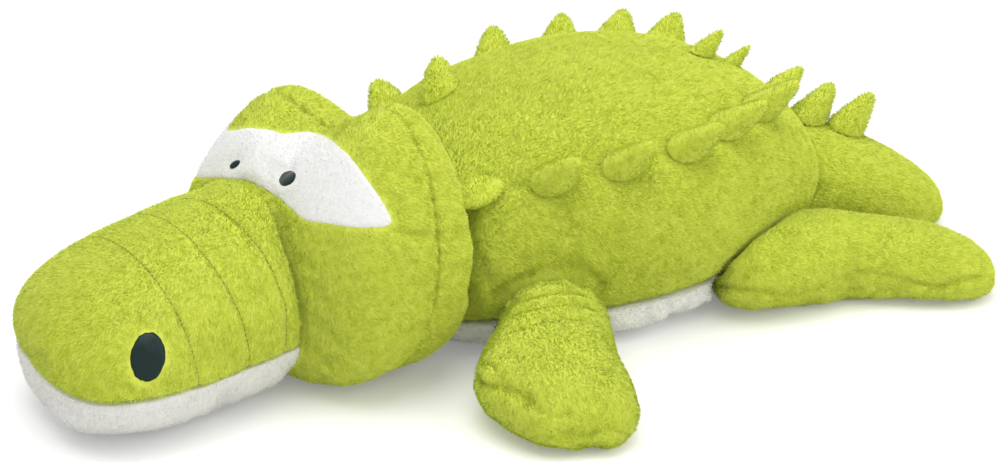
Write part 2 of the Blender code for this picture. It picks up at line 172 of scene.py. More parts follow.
def addNode(tree, kind, inputs, **settings):
    node = tree.nodes.new(kind)
    for label, value in settings.items():
        setattr(node, label, value)
    wire(tree, node, inputs)
    return node.outputs


def addRamp(tree, value, stops):
    # Shades at their places between the lowest and the highest value.
    ramp = tree.nodes.new("ShaderNodeValToRGB")
    elements = ramp.color_ramp.elements
    for element, (place, colour) in zip((elements[0], elements[1]), (stops[0], stops[-1])):
        element.position = place
        element.color = (*colour, 1.0)
    for place, colour in stops[1:-1]:
        elements.new(place).color = (*colour, 1.0)
    wire(tree, ramp, {"Fac": value})
    return ramp.outputs["Color"]


def newMaterial(name):
    material = bpy.data.materials.new(name)
    material.use_nodes = True
    return material, material.node_tree, material.node_tree.nodes["Principled BSDF"]


def fabricMaterial(name, colours, fleck, bump, roughness, sheen):
    # Woven backing: broad and fine noise between three shades, with a fine bump.
    material, tree, shader = newMaterial(name)
    place = addNode(tree, "ShaderNodeTexCoord", {})["Object"]
    broad = addNode(tree, "ShaderNodeTexNoise", {"Vector": place, "Scale": fabricSizes["broad"]})["Fac"]
    fine = addNode(tree, "ShaderNodeTexNoise", {"Vector": place, "Scale": fleck,
                                                "Detail": fabricSizes["fineDetail"]})["Fac"]
    mixed = addNode(tree, "ShaderNodeMath", {0: broad, 1: fabricSizes["broadShare"], 2: fine},
                    operation="MULTIPLY_ADD")["Value"]
    relief = addNode(tree, "ShaderNodeBump", {"Height": fine, "Strength": bump,
                                              "Distance": fabricSizes["relief"]})["Normal"]
    stops = list(zip(fabricSizes["stops"], colours.values()))
    wire(tree, shader, {"Base Color": addRamp(tree, mixed, stops), "Normal": relief, "Roughness": roughness,
                        "Sheen Weight": sheen})
    return material


def strandMaterial(name, colour):
    material, tree, shader = newMaterial(name)
    wire(tree, shader, {"Base Color": (*colour, 1.0), **strandFinish})
    return material


def threadMaterial(name, colour, spacing, roughness):
    # Satin stitch: fine parallel threads with a low gloss.
    material, tree, shader = newMaterial(name)
    place = addNode(tree, "ShaderNodeTexCoord", {})["Object"]
    threads = addNode(tree, "ShaderNodeTexWave", {"Vector": place, "Scale": spacing,
                                                  "Distortion": threadSizes["distortion"]},
                      bands_direction="Z")["Fac"]
    relief = addNode(tree, "ShaderNodeBump", {"Height": threads, "Strength": threadSizes["bump"],
                                              "Distance": threadSizes["relief"]})["Normal"]
    stops = [(stop, [part * factor for part in colour]) for stop, factor in threadSizes["stops"]]
    wire(tree, shader, {"Base Color": addRamp(tree, threads, stops), "Normal": relief,
                        "Roughness": roughness, "Specular IOR Level": threadSizes["specular"]})
    return material


skinMaterials = {"green": fabricMaterial("green_backing", shades["green"], 150.0, 0.6, 0.95, 0.15),
                 "white": fabricMaterial("white_backing", shades["white"], 150.0, 0.5, 0.95, 0.10),
                 "nap": fabricMaterial("white_short_nap", shades["nap"], 420.0, 0.35, 0.90, 0.10)}
strandMaterials = {kind: [strandMaterial(kind + "_strand_" + shade, colour)
                          for shade, colour in colours.items()] for kind, colours in shades.items()}
darkThread = threadMaterial("dark_satin_thread", darkThreadColour, 420.0, 0.30)
seamThread = threadMaterial("olive_seam_thread", seamThreadColour, 500.0, 0.70)
print("materials made")


# Meshes, also as arrays
def newThing(name, mesh):
    thing = bpy.data.objects.new(name, mesh)
    scene.collection.objects.link(thing)
    return thing


def thingOf(name, shape):
    mesh = bpy.data.meshes.new(name)
    shape.to_mesh(mesh)
    shape.free()
    return newThing(name, mesh)


def asPlainMesh(thing):
    finished = bpy.data.meshes.new_from_object(thing.evaluated_get(bpy.context.evaluated_depsgraph_get()))
    thing.modifiers.clear()
    thing.data = finished
    finished.name = thing.name
    return thing


def valuesOf(thing, label):
    values = np.empty(len(thing.data.vertices) * 3)
    thing.data.vertices.foreach_get(label, values)
    return values.reshape(-1, 3)


def pointsOf(thing):
    return valuesOf(thing, "co")


def normalsOf(thing):
    return valuesOf(thing, "normal")


def placePoints(thing, points):
    thing.data.vertices.foreach_set("co", points.astype(np.float32).ravel())
    thing.data.update()


def treeOf(thing):
    points = [vertex.co.copy() for vertex in thing.data.vertices]
    faces = [tuple(face.vertices) for face in thing.data.polygons]
    return BVHTree.FromPolygons(points, faces)


def joinRings(shape, rings):
    for lower, upper in zip(rings, rings[1:]):
        for side in range(len(lower)):
            after = (side + 1) % len(lower)
            shape.faces.new((lower[side], lower[after], upper[after], upper[side]))


def soften(name, node, voxel, rounds):
    # A closed skin over the CAD solid that it stands for, remeshed evenly with softened edges.
    shape = bmesh.new()
    shape.from_mesh(nodes[node].data)
    bmesh.ops.remove_doubles(shape, verts=shape.verts, dist=0.00001)
    thing = thingOf(name, shape)
    even = thing.modifiers.new("even", "REMESH")
    even.mode = "VOXEL"
    even.voxel_size = voxel
    even.use_smooth_shade = True
    smooth = thing.modifiers.new("smooth", "SMOOTH")
    smooth.factor = 0.5
    smooth.iterations = rounds
    return asPlainMesh(thing)


# Large forms, each with the skins that lie against it
formColumns = ("body", "kind", "node", "voxel", "rounds", "length", "density", "comb", "against")
legSkins = ("front_leg_left_skin", "front_leg_right_skin", "hind_leg_left_skin", "hind_leg_right_skin")
formRows = {
    "torso_skin": ("torso", "green", "torso", 0.0042, 14, 0.0034, 460000, (0.0, 1.0, -0.45),
                   ("belly_skin", "collar_skin", "tail_skin", *legSkins)),
    "belly_skin": ("torso", "white", "belly", 0.0042, 8, 0.0030, 170000, (0.0, 0.8, -0.20),
                   ("torso_skin", "collar_skin")),
    "head_skin": ("head", "green", "head", 0.0030, 20, 0.0032, 400000, (0.15, 0.9, -0.55),
                  ("collar_skin", "snout_skin", "jaw_skin", "torso_skin")),
    "collar_skin": ("head", "green", "collar", 0.0030, 12, 0.0032, 400000, (0.15, 0.9, -0.55),
                    ("head_skin", "torso_skin")),
    "snout_skin": ("head", "green", "snout", 0.0026, 12, 0.0031, 400000, (0.0, -0.5, -0.90),
                   ("head_skin", "jaw_skin")),
    "jaw_skin": ("head", "white", "jaw", 0.0030, 9, 0.0026, 300000, (0.0, -0.3, -0.60),
                 ("head_skin", "snout_skin")),
    "front_leg_left_skin": ("front_leg_left", "green", "front_leg_left", 0.0030, 9, 0.0033, 390000,
                            (1.0, -0.20, -0.40), ("torso_skin",)),
    "front_leg_right_skin": ("front_leg_right", "green", "front_leg_right", 0.0030, 9, 0.0033, 390000,
                             (-1.0, -0.20, -0.40), ("torso_skin",)),
    "hind_leg_left_skin": ("hind_leg_left", "green", "hind_leg_left", 0.0032, 9, 0.0033, 390000,
                           (0.35, 0.90, -0.40), ("torso_skin",)),
    "hind_leg_right_skin": ("hind_leg_right", "green", "hind_leg_right", 0.0032, 9, 0.0033, 390000,
                            (-0.35, 0.90, -0.40), ("torso_skin",)),
    "tail_skin": ("tail", "green", "tail", 0.0032, 9, 0.0033, 390000, (0.3, 0.95, -0.40), ("torso_skin",))}
forms = {name: dict(zip(formColumns, row)) for name, row in formRows.items()}
skins = {name: soften(name, form["node"], form["voxel"], form["rounds"]) for name, form in forms.items()}
trees = {name: treeOf(skin) for name, skin in skins.items()}
print("skins made")

# How near and how squarely two skins lie where they are sewn, and the same for the floor
touchSizes = {"sewn": 0.003, "root": 0.006, "opposed": -0.35, "floor": 0.003, "down": -0.5}


def meets(thing, others, near):
    # True where a skin lies against another piece.
    points, normals = pointsOf(thing), normalsOf(thing)
    touching = np.zeros(len(points), bool)
    for tree in others:
        for index in np.nonzero(~touching)[0]:
            hit, facing = tree.find_nearest(Vector(points[index]), near)[:2]
            if hit is not None and Vector(normals[index]).dot(facing) < touchSizes["opposed"]:
                touching[index] = True
    return touching


def onFloor(thing, near):
    return (pointsOf(thing)[:, 2] < near) & (normalsOf(thing)[:, 2] < touchSizes["down"])


def closeTo(points, tree, near):
    return np.array([tree.find_nearest(Vector(place), near)[0] is not None for place in points])


sewn = {name: meets(skins[name], [trees[other] for other in form["against"]], touchSizes["sewn"])
        for name, form in forms.items()}

# Legs, tail and collar bend near their root seams: which way, and over what length
bendSizes = {
    "front_leg_left_skin": {"way": (0.970, -0.242, 0.0), "held": 0.80, "length": 0.075},
    "front_leg_right_skin": {"way": (-0.970, -0.242, 0.0), "held": 0.80, "length": 0.075},
    "hind_leg_left_skin": {"way": (0.342, 0.940, 0.0), "held": 0.80, "length": 0.080},
    "hind_leg_right_skin": {"way": (-0.342, 0.940, 0.0), "held": 0.80, "length": 0.080},
    "tail_skin": {"way": (0.326, 0.945, 0.0), "held": 0.80, "length": 0.080},
    "collar_skin": {"way": (0.310, -0.951, 0.0), "held": 0.40, "length": 0.012, "until": "head_skin",
                    "reached": 0.03}}


def rootPoints(name, other):
    return pointsOf(skins[name])[meets(skins[name], [trees[other]], touchSizes["root"])]


def bendOf(name, sizes):
    # Start and end of a bend. It starts past most of the faces that are sewn to the torso (past fewer on
    # the collar), and the collar's is over where the head is sewn on.
    way = np.array(sizes["way"])
    points = rootPoints(name, "torso_skin")
    along = np.quantile(points @ way, sizes["held"])
    middle = points.mean(axis=0)
    start = middle + way * (along - middle @ way)
    length = sizes["length"]
    if "until" in sizes:
        ahead = rootPoints(name, sizes["until"]) @ way
        length = max(length, np.quantile(ahead, sizes["reached"]) - along)
    return tuple(start), tuple(start + way * length)


bends = {name: bendOf(name, sizes) for name, sizes in bendSizes.items()}
print("bends found")

# Seams, creases and folds are pressed into the skins
pressSizes = {"beyond": 9.0, "reach": 2.5, "finerShare": 0.5, "finer": 1.7, "finerShift": 1.0}


def awayFrom(points, path):
    away = np.full(len(points), pressSizes["beyond"])
    for place in path:
        away = np.minimum(away, np.linalg.norm(points - place, axis=1))
    return away


def awayFromTree(points, tree, width):
    hits = (tree.find_nearest(Vector(place), width * pressSizes["reach"])[3] for place in points)
    return np.array([pressSizes["beyond"] if away is None else away for away in hits])


def press(thing, away, width, depth, waves=1.0):
    pull = depth * np.exp(-(away / width) ** 2) * waves
    placePoints(thing, pointsOf(thing) - normalsOf(thing) * pull[:, None])


def pressSeen(name, places, width, depth):
    # Presses a line of the photograph into a skin, and its mirrored line into the hidden leg.
    path = seenPath(trees[name], places)
    press(skins[name], awayFrom(pointsOf(skins[name]), path), width, depth)
    if "leg_left" in name:
        other = name.replace("left", "right")
        press(skins[other], awayFrom(pointsOf(skins[other]), mirroredPath(trees[other], path)), width, depth)


def pressJoint(thing, tree, width, depth):
    # Draws a skin in towards the seam where it is sewn to another one.
    press(thing, awayFromTree(pointsOf(thing), tree, width), width, depth)


def puckerJoint(thing, tree, axis, count, reach, depth):
    # Short wrinkles that run away from a gathered seam.
    points = pointsOf(thing)
    middle = points.mean(axis=0)
    ahead = Vector(axis).normalized()
    side = ahead.cross(upward).normalized()
    up = side.cross(ahead)
    around = np.arctan2((points - middle) @ np.array(up), (points - middle) @ np.array(side))
    finer = np.cos(around * count * pressSizes["finer"] + pressSizes["finerShift"])
    press(thing, awayFromTree(points, tree, reach), reach, depth,
          np.cos(around * count) + pressSizes["finerShare"] * finer)


def unevenness(thing, depth, scale, seed):
    # Soft lumps of filling under the fabric.
    points, normals = pointsOf(thing), normalsOf(thing)
    lift = np.array([noise.noise(Vector(point) * scale + Vector((seed, 0.0, 0.0))) for point in points])
    placePoints(thing, points + normals * (lift * depth)[:, None])


# Filling: a coarse copy of each skin is blown up as cloth that is held at its seams and by the floor,
# and the fine skin follows it.
clothSizes = {"voxel": 0.0065, "rounds": 4, "shrink": 0.0015, "pressure": 4.0, "grow": 0.035,
              "stiffness": 5.0, "frames": 20, "cap": 0.0050, "torsoCap": 0.0016, "floor": 0.004,
              "closest": 5, "even": 0.0005}


def makeCloth(name, form, sizes):
    cloth = soften(name + "_cloth", form["node"], sizes["voxel"], sizes["rounds"])
    start = pointsOf(cloth)
    held = meets(cloth, [trees[other] for other in form["against"]], touchSizes["root"])
    held |= onFloor(cloth, sizes["floor"])
    placePoints(cloth, start - normalsOf(cloth) * (sizes["shrink"] * ~held)[:, None])
    cloth.vertex_groups.new(name="held").add([int(index) for index in np.nonzero(held)[0]], 1.0, "REPLACE")
    swell = cloth.modifiers.new("cloth", "CLOTH")
    swell.settings.vertex_group_mass = "held"
    swell.settings.use_pressure = True
    swell.settings.uniform_pressure_force = sizes["pressure"]
    swell.settings.shrink_min = -sizes["grow"]
    swell.settings.shrink_max = -sizes["grow"]
    swell.settings.tension_stiffness = sizes["stiffness"]
    swell.settings.compression_stiffness = sizes["stiffness"]
    swell.settings.effector_weights.gravity = 0.0
    swell.point_cache.frame_start = 1
    swell.point_cache.frame_end = sizes["frames"]
    return cloth, start


def fillSkins(sizes):
    cloths = {name: makeCloth(name, form, sizes) for name, form in forms.items()}
    for number in range(1, sizes["frames"] + 1):
        scene.frame_set(number)
    graph = bpy.context.evaluated_depsgraph_get()
    for name, (cloth, start) in cloths.items():
        moves = pointsOf(cloth.evaluated_get(graph)) - start
        length = np.linalg.norm(moves, axis=1)
        print("filled", name, len(start), "points, usual move mm", round(float(np.median(length)) * 1000, 2),
              "largest", round(float(length.max()) * 1000, 2))
        cap = sizes["torsoCap"] if name == "torso_skin" else sizes["cap"]
        moves *= np.minimum(1.0, cap / np.maximum(length, 1e-9))[:, None]
        near = KDTree(len(start))
        for index, place in enumerate(start):
            near.insert(place, index)
        near.balance()
        unfilled = pointsOf(skins[name])
        filled = unfilled.copy()
        for index, place in enumerate(unfilled):
            closest = near.find_n(place, sizes["closest"])
            weights = np.array([1.0 / (item[2] + sizes["even"]) for item in closest])
            shift = (moves[[item[1] for item in closest]] * weights[:, None]).sum(axis=0) / weights.sum()
            filled[index] = place + shift
        # Nothing sinks into the floor, or deeper than it was.
        filled[:, 2] = np.maximum(filled[:, 2], np.minimum(unfilled[:, 2], 0.0))
        placePoints(skins[name], filled)
    for cloth, start in cloths.values():
        bpy.data.objects.remove(cloth, do_unlink=True)
    scene.frame_set(1)


lumpSizes = {"depth": 0.0016, "scale": 15.0}
fillSkins(clothSizes)
for seed, name in enumerate(skins):
    unevenness(skins[name], lumpSizes["depth"], lumpSizes["scale"], float(seed))

# The belly bulges under the torso's edge where no leg is in its way
bellySizes = {"edge": 0.045, "bulge": 0.40, "fade": 0.7, "clear": 0.012, "reach": 4.0}


def fillBelly(sizes):
    belly = skins["belly_skin"]
    points = pointsOf(belly)
    low = np.clip(1.0 - points[:, 2] / sizes["edge"], 0.0, 1.0)
    wider = points.copy()
    wider[:, 0] *= 1.0 + sizes["bulge"] * low ** sizes["fade"]
    for index, place in enumerate(wider):
        free = 1.0
        for name in legSkins:
            nearest = trees[name].find_nearest(Vector(place), sizes["clear"] * sizes["reach"])
            if nearest[0] is None:
                continue
            outside = (Vector(place) - nearest[0]).dot(nearest[1]) > 0.0
            free = min(free, min(1.0, nearest[3] / sizes["clear"]) if outside else 0.0)
        points[index] += (place - points[index]) * free
    placePoints(belly, points)


fillBelly(bellySizes)

# Width and depth of the groove at each sewn joint
jointGrooves = {
    ("head_skin", "collar_skin"): (0.0045, 0.0012), ("collar_skin", "head_skin"): (0.0050, 0.0014),
    ("snout_skin", "head_skin"): (0.0050, 0.0040), ("head_skin", "snout_skin"): (0.0050, 0.0020),
    ("jaw_skin", "snout_skin"): (0.0045, 0.0012), ("belly_skin", "torso_skin"): (0.0040, 0.0015),
    ("collar_skin", "torso_skin"): (0.0080, 0.0050), ("torso_skin", "collar_skin"): (0.0090, 0.0060),
    ("tail_skin", "torso_skin"): (0.0060, 0.0025), ("torso_skin", "tail_skin"): (0.0060, 0.0015)}
for legName in legSkins:
    front = legName.startswith("front")
    jointGrooves[legName, "torso_skin"] = (0.0060, 0.0035 if front else 0.0025)
    jointGrooves["torso_skin", legName] = (0.0070, 0.0030 if front else 0.0018)
for (name, other), (width, depth) in jointGrooves.items():
    pressJoint(skins[name], trees[other], width, depth)

# Wrinkles at the gathered seams: way, count, reach and depth
puckers = {
    ("collar_skin", "head_skin"): ((0.31, -0.95, 0.0), 58, 0.016, 0.0009),
    ("front_leg_left_skin", "torso_skin"): ((1.0, -0.24, 0.0), 17, 0.014, 0.0012),
    ("front_leg_right_skin", "torso_skin"): ((-1.0, -0.24, 0.0), 17, 0.014, 0.0012),
    ("tail_skin", "torso_skin"): ((0.3, 0.95, 0.0), 17, 0.014, 0.0010)}
for (name, other), sizes in puckers.items():
    puckerJoint(skins[name], trees[other], *sizes)

# Lines that the photograph shows: width, depth, places in the frame
creases = {
    "head_skin": (
        (0.0050, 0.0036, ((396, 230), (412, 233), (430, 236))),
        (0.0080, -0.0030, ((284, 131), (300, 124), (318, 118), (336, 114)))),
    "snout_skin": (
        (0.0030, 0.0030, ((145, 381), (144, 397))),
        (0.0035, 0.0018, ((53, 284), (41, 302), (33, 325), (32, 358)))),
    "front_leg_left_skin": (
        (0.0050, 0.0050, ((472, 374), (484, 383), (500, 386), (514, 391), (527, 399))),
        (0.0045, 0.0035, ((478, 362), (492, 366), (500, 376))),
        (0.0050, 0.0035, ((527, 399), (541, 411), (553, 417), (566, 414))),
        (0.0045, 0.0030, ((556, 428), (574, 433), (592, 432))),
        (0.0045, 0.0035, ((590, 434), (603, 428), (616, 429), (629, 434))),
        (0.0070, 0.0022, ((499, 356), (530, 352), (560, 358), (590, 362), (612, 370))),
        (0.0045, 0.0040, ((508, 304), (526, 297), (546, 292), (568, 290), (584, 293))),
        (0.0045, 0.0032, ((510, 315), (532, 307), (556, 303), (578, 303), (594, 308))),
        (0.0050, 0.0026, ((514, 329), (540, 320), (570, 317), (596, 322), (609, 330)))),
    "hind_leg_left_skin": (
        (0.0042, 0.0045, ((714, 285), (740, 289), (762, 292), (785, 296), (803, 296), (819, 290), (836, 284),
                          (853, 280), (876, 275), (905, 281), (928, 286), (940, 287), (950, 283), (962, 280),
                          (979, 277))),
        (0.0180, 0.0080, ((872, 232), (868, 248), (862, 264))),
        (0.0160, 0.0080, ((850, 288), (852, 294))),
        (0.0120, 0.0040, ((790, 236), (776, 256), (764, 272)))),
    "tail_skin": (
        (0.0040, 0.0036, ((811, 140), (820, 160), (817, 184), (806, 200))),
        (0.0042, 0.0030, ((823, 148), (831, 166), (828, 186), (818, 200))),
        (0.0042, 0.0020, ((836, 154), (842, 170), (839, 188)))),
    "torso_skin": (
        (0.0042, 0.0032, ((797, 132), (806, 150), (805, 174), (792, 194))),
        (0.0042, 0.0026, ((786, 128), (795, 146), (795, 170), (781, 188))),
        (0.0400, 0.0030, ((500, 56), (560, 48), (620, 46), (680, 50))),
        (0.0065, 0.0024, ((512, 186), (556, 182), (590, 172), (615, 167), (650, 158), (686, 151), (712, 140),
                          (740, 128))),
        (0.0080, 0.0060, ((498, 296), (516, 283), (540, 273), (565, 269), (586, 273), (602, 287))),
        (0.0060, 0.0030, ((482, 262), (490, 282), (497, 296))),
        (0.0070, 0.0030, ((520, 262), (548, 257), (580, 262))))}
for name, lines in creases.items():
    for width, depth, places in lines:
        pressSeen(name, places, width, depth)

# Toe lumps of the front paws: place in the frame, radius and height
toes = (((549, 420), 0.014, 0.0055), ((612, 434), 0.015, 0.0070), ((490, 372), 0.012, 0.0050))
for place, radius, height in toes:
    pressSeen("front_leg_left_skin", (place, (place[0] + 2, place[1])), radius, -height)

# Cross seams of the snout, from where the photograph shows them
snoutSeams = {
    "lines": (((76, 237), (108, 243), (140, 264), (178, 315), (202, 380)),
              ((137, 216), (166, 223), (198, 251), (236, 302), (252, 363)),
              ((179, 199), (223, 213), (255, 242), (281, 290), (289, 347))),
    "width": 0.0032, "depth": 0.0026, "bare": 0.0015, "stitch": 0.0052, "avoid": 0.003, "swing": 120,
    "start": 0.4}


def seamAround(tree, line, avoid, sizes):
    # A flat cut through the snout that fits a line of the photograph, followed from one end of the mouth
    # over the top to the other.
    cloud = seenPath(tree, line)
    middle = cloud.mean(axis=0)
    across = Vector(np.linalg.svd(cloud - middle)[2][2])
    snoutMiddle = Vector(pointsOf(skins["snout_skin"]).mean(axis=0))
    centre = snoutMiddle - across * (snoutMiddle - Vector(middle)).dot(across)
    side = across.cross(upward).normalized()
    up = side.cross(across)
    path = []
    for degrees in range(-sizes["swing"], sizes["swing"] + 1):
        angle = math.radians(degrees)
        way = up * math.cos(angle) + side * math.sin(angle)
        hit = tree.ray_cast(centre + way * sizes["start"], -way)[0]
        if hit and not any(other.find_nearest(hit, sizes["avoid"])[0] for other in avoid):
            path.append(hit)
    return np.array(path)


snout = skins["snout_skin"]
seamPaths = [seamAround(trees["snout_skin"], line, (trees["jaw_skin"], trees["head_skin"]), snoutSeams)
             for line in snoutSeams["lines"]]
seamBare = np.any([awayFrom(pointsOf(snout), path) < snoutSeams["bare"] for path in seamPaths], axis=0)
for path in seamPaths:
    press(snout, awayFrom(pointsOf(snout), path), snoutSeams["width"], snoutSeams["depth"])
print("seams, creases and folds pressed")

# Pupils and nostrils: places in the frame, also of the dimples that the pupils sit in
pupils = {
    "pupil_left": {"place": (287.5, 178.5), "dimple": (291, 174), "tilt": 38.0, "long": 0.0084,
                   "wide": 0.0058, "rise": 0.0022},
    "pupil_right": {"place": (235.0, 164.5), "dimple": (238, 161), "tilt": 38.0, "long": 0.0056,
                    "wide": 0.0026, "rise": 0.0022}}
nostrils = {
    "nostril_left": {"place": (148.0, 357.0), "tilt": 84.0, "long": 0.0215, "wide": 0.0150, "rise": 0.0020},
    "nostril_right": {"tilt": 84.0, "long": 0.0215, "wide": 0.0150, "rise": 0.0020}}
dimpleSizes = {"radius": 0.011, "depth": 0.0034}
for sizes in pupils.values():
    across, down = sizes["dimple"]
    pressSeen("head_skin", ((across, down), (across + 1, down)), dimpleSizes["radius"], dimpleSizes["depth"])

# Where no pile grows: on the floor, on sewn faces, along the seams, under the eye patch and the marks
bareSizes = {"patch": 0.0021, "nostril": 0.0035, "pupil": 0.0030, "patchFoot": 0.0004}
bare = {name: sewn[name].copy() for name in skins}
for name in ("torso_skin", "belly_skin"):
    bare[name] |= onFloor(skins[name], touchSizes["floor"])
bare["snout_skin"] |= seamBare

# Eye patch: its outline where the photograph shows it, and the CAD patch where it is hidden
patchSizes = {
    "outline": ((150, 118), (200, 126), (229, 131), (245, 128), (256, 127), (266, 128.5), (275, 131),
                (283, 133), (293, 132), (312, 131), (322, 134), (337, 142), (350, 154), (360, 167), (371, 183),
                (381, 198), (389, 210), (394, 218), (396, 224), (393, 228), (386, 229.5), (375, 229.5),
                (352, 228), (329, 225), (312, 223), (302, 220), (294, 212), (287, 205), (279, 199), (270, 194),
                (258, 187), (247, 182.5), (235, 180), (224, 179), (210, 178.5), (195, 179), (150, 186)),
    "near": 0.0034, "grazing": 0.10, "lowest": 0.130, "lift": 0.0012, "edgeLift": 0.2, "wall": 0.0012,
    "edgeRounds": 24, "edgeOwn": 0.4, "edgeNear": 0.3, "innerRounds": 3, "innerFirst": 0.25,
    "innerLater": 0.05}


def insideOutline(places, outline):
    inside = np.zeros(len(places), bool)
    for (x0, y0), (x1, y1) in zip(outline, outline[1:] + outline[:1]):
        crosses = (y0 > places[:, 1]) != (y1 > places[:, 1])
        reach = x0 + (places[:, 1] - y0) * (x1 - x0) / (y1 - y0 if y1 != y0 else 1e-9)
        inside ^= crosses & (places[:, 0] < reach)
    return inside


def patchCovers(head, sizes):
    points = pointsOf(head)
    toCamera = np.array(cameraPlace) - points
    toCamera /= np.linalg.norm(toCamera, axis=1)[:, None]
    facing = (toCamera * normalsOf(head)).sum(axis=1)
    high = points[:, 2] > sizes["lowest"]
    seen = insideOutline(seenFrom(points), sizes["outline"]) & (facing > 0.0) & high
    hidden = (facing < sizes["grazing"]) & high
    hidden &= closeTo(points, treeOf(nodes["eye_patch"]), sizes["near"])
    return (seen | hidden) & ~sewn["head_skin"]


def makePatch(sizes):
    # The sheet is the part of the head's skin under the patch, with its edge evened out.
    head = skins["head_skin"]
    covered = patchCovers(head, sizes)
    shape = bmesh.new()
    shape.from_mesh(head.data)
    shape.verts.ensure_lookup_table()
    outside = [face for face in shape.faces
               if sum(bool(covered[vertex.index]) for vertex in face.verts) < len(face.verts) - 1]
    bmesh.ops.delete(shape, geom=outside, context="FACES")
    loose = [vertex for vertex in shape.verts if not vertex.link_faces]
    bmesh.ops.delete(shape, geom=loose, context="VERTS")
    for turn in range(sizes["edgeRounds"]):
        moved = {}
        for vertex in shape.verts:
            if vertex.is_boundary:
                near = [link.other_vert(vertex).co for link in vertex.link_edges if link.is_boundary]
                moved[vertex] = vertex.co * sizes["edgeOwn"] + (near[0] + near[-1]) * sizes["edgeNear"]
        for vertex, place in moved.items():
            vertex.co = place
        inner = [vertex for vertex in shape.verts if not vertex.is_boundary]
        factor = sizes["innerFirst"] if turn < sizes["innerRounds"] else sizes["innerLater"]
        bmesh.ops.smooth_vert(shape, verts=inner, factor=factor, use_axis_x=True, use_axis_y=True,
                              use_axis_z=True)
    shape.normal_update()
    for vertex in shape.verts:
        vertex.co += vertex.normal * (sizes["lift"] * (sizes["edgeLift"] if vertex.is_boundary else 1.0))
    cover = thingOf("eye_patch_cover", shape)
    wall = cover.modifiers.new("wall", "SOLIDIFY")
    wall.thickness = sizes["wall"]
    wall.offset = -1.0
    finer = cover.modifiers.new("finer", "SUBSURF")
    finer.levels = 1
    finer.render_levels = 1
    return asPlainMesh(cover)


patch = makePatch(patchSizes)
patchTree = treeOf(patch)
snoutTree = treeOf(snout)
bare["head_skin"] |= closeTo(pointsOf(skins["head_skin"]), patchTree, bareSizes["patch"])
print("eye patch made, faces", len(patch.data.polygons))

# Embroidered pupils and nostrils are domed ovals laid on what carries them
ovalSizes = {"sides": 64, "steps": 7, "ragged": 0.06, "raggedScale": 4.0, "above": 0.0002, "start": 0.02,
             "topStart": 0.002, "under": 0.0015}


def makeOval(name, tree, place, normal, sizes):
    # An oval that is seen has its size as the camera sees it, and the hidden one has it on the surface.
    facing = (cameraPlace - place).normalized() if "place" in sizes else normal
    tilt = math.radians(sizes["tilt"])
    frameUp = cameraTurn @ Vector((math.cos(tilt), math.sin(tilt), 0.0))
    along = (frameUp - facing * frameUp.dot(facing)).normalized()
    aside = facing.cross(along)
    shape = bmesh.new()
    rings = []
    sides, steps = ovalSizes["sides"], ovalSizes["steps"]
    for step in range(steps):
        share = 1.0 - step / steps
        height = sizes["rise"] * math.sqrt(1.0 - share ** 2) + ovalSizes["above"]
        ring = []
        for side in range(sides):
            angle = 2.0 * math.pi * side / sides
            around = Vector((math.cos(angle), math.sin(angle), 0.0))
            uneven = 1.0 + ovalSizes["ragged"] * noise.noise(around * ovalSizes["raggedScale"])
            spot = (place + along * (math.cos(angle) * sizes["long"] * share * uneven)
                    + aside * (math.sin(angle) * sizes["wide"] * share * uneven))
            hit = tree.ray_cast(spot + facing * ovalSizes["start"], -facing)[0] or tree.find_nearest(spot)[0]
            ring.append(shape.verts.new(hit + normal * height))
        rings.append(ring)
    top = tree.find_nearest(place + normal * ovalSizes["topStart"])[0]
    top = shape.verts.new(top + normal * (sizes["rise"] + ovalSizes["above"]))
    foot = [shape.verts.new(vertex.co - normal * ovalSizes["under"]) for vertex in rings[0]]
    under = shape.verts.new(place - normal * ovalSizes["under"])
    joinRings(shape, [foot] + rings)
    for side in range(sides):
        after = (side + 1) % sides
        shape.faces.new((rings[-1][side], rings[-1][after], top))
        shape.faces.new((foot[after], foot[side], under))
    bmesh.ops.recalc_face_normals(shape, faces=shape.faces)
    return thingOf(name, shape)


marks = {}
for name, sizes in {**pupils, **nostrils}.items():
    tree = patchTree if name in pupils else snoutTree
    if "place" in sizes:
        place, normal = tree.ray_cast(cameraPlace, seenRay(*sizes["place"]))[:2]
    else:
        low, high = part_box(name)
        place, normal = tree.find_nearest((Vector(low) + Vector(high)) / 2)[:2]
    marks[name] = makeOval(name + "_embroidery", tree, place, normal, sizes)
for name in nostrils:
    bare["snout_skin"] |= closeTo(pointsOf(snout), treeOf(marks[name]), bareSizes["nostril"])


def follow(thing, body, skin=None):
    if skin in bends:
        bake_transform(thing, "torso", body, start=bends[skin][0], end=bends[skin][1])
    else:
        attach(thing, body)


def dress(thing, body, material, slot, *stoodFor, skin=None):
    thing.data.materials.clear()
    thing.data.materials.append(material)
    for face in thing.data.polygons:
        face.use_smooth = True
    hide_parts(*stoodFor)
    follow(thing, body, skin)


for name, mark in marks.items():
    dress(mark, "head", darkThread, "dark_thread", name)
dress(patch, "head", skinMaterials["nap"], "white_felt", "eye_patch")
print("face made")

# One stitch of the snout's seams, one unit long: heights and radii along it
stitchSizes = {"sides": 6, "rings": ((-0.42, 0.03), (-0.30, 0.07), (0.0, 0.08), (0.30, 0.07), (0.42, 0.03)),
               "start": 0.01, "lift": 0.0004}


def makeStitch(sizes):
    shape = bmesh.new()
    rings = []
    for height, radius in sizes["rings"]:
        angles = [2 * math.pi * side / sizes["sides"] for side in range(sizes["sides"])]
        rings.append([shape.verts.new((math.cos(angle) * radius, math.sin(angle) * radius, height))
                      for angle in angles])
    joinRings(shape, rings)
    shape.faces.new(list(reversed(rings[0])))
    shape.faces.new(rings[-1])
    thing = thingOf("stitch", shape)
    thing.hide_render = True
    return thing


